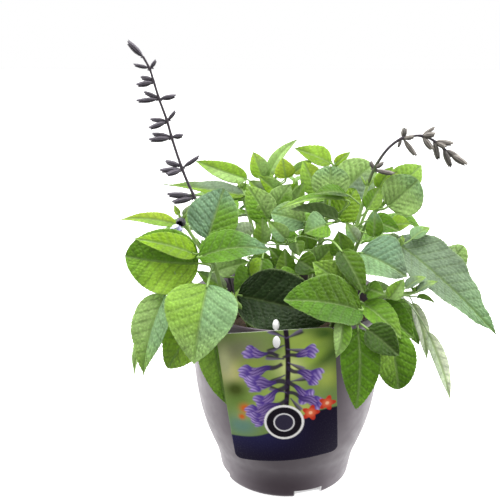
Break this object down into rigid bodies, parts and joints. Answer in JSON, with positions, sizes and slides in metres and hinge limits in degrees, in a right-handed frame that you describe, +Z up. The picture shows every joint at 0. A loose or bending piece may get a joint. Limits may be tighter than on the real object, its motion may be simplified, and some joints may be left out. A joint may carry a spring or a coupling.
{
  "type": "potted salvia",
  "caption": "Salvia plant in a tapered plastic nursery pot of soil, with leafy shoots, two dark flower spikes and a picture card pinned to the rim.",
  "frame": {"origin": "centre of the pot's flat underside", "axes": "+Z up, +Y from the card's side through the pot to its back, +X to the right of someone who looks at the card"},
  "size_m": [0.2824, 0.2288, 0.335],
  "materials": {
    "pot_plastic": "satin",
    "soil": "matte",
    "leaf_green": "matte",
    "flower_dark": "matte",
    "petal_pale": "matte",
    "card_print": "satin",
    "pin_white": "satin"
  },
  "bodies": {
    "root": {"pot": "pot_plastic", "soil": "soil", "shoot_left_front": "leaf_green", "shoot_left_low": "leaf_green", "shoot_left_old": "leaf_green", "shoot_front_left": "leaf_green", "shoot_front_right": "leaf_green", "shoot_middle_left": "leaf_green", "shoot_middle_right": "leaf_green", "shoot_right_mid": "leaf_green", "shoot_right_flower": "leaf_green", "shoot_right_back": "leaf_green", "shoot_right_low": "leaf_green", "shoot_back_left": "leaf_green", "shoot_back_middle": "leaf_green", "shoot_back_right": "leaf_green", "shoot_behind_1": "leaf_green", "shoot_behind_2": "leaf_green", "shoot_behind_3": "leaf_green", "flower_spike_left": "flower_dark", "flower_spike_right": "flower_dark", "old_flower_calyx": "flower_dark", "old_flower_petals": "petal_pale", "card": "card_print", "card_pin": "pin_white"}
  },
  "joints": []
}
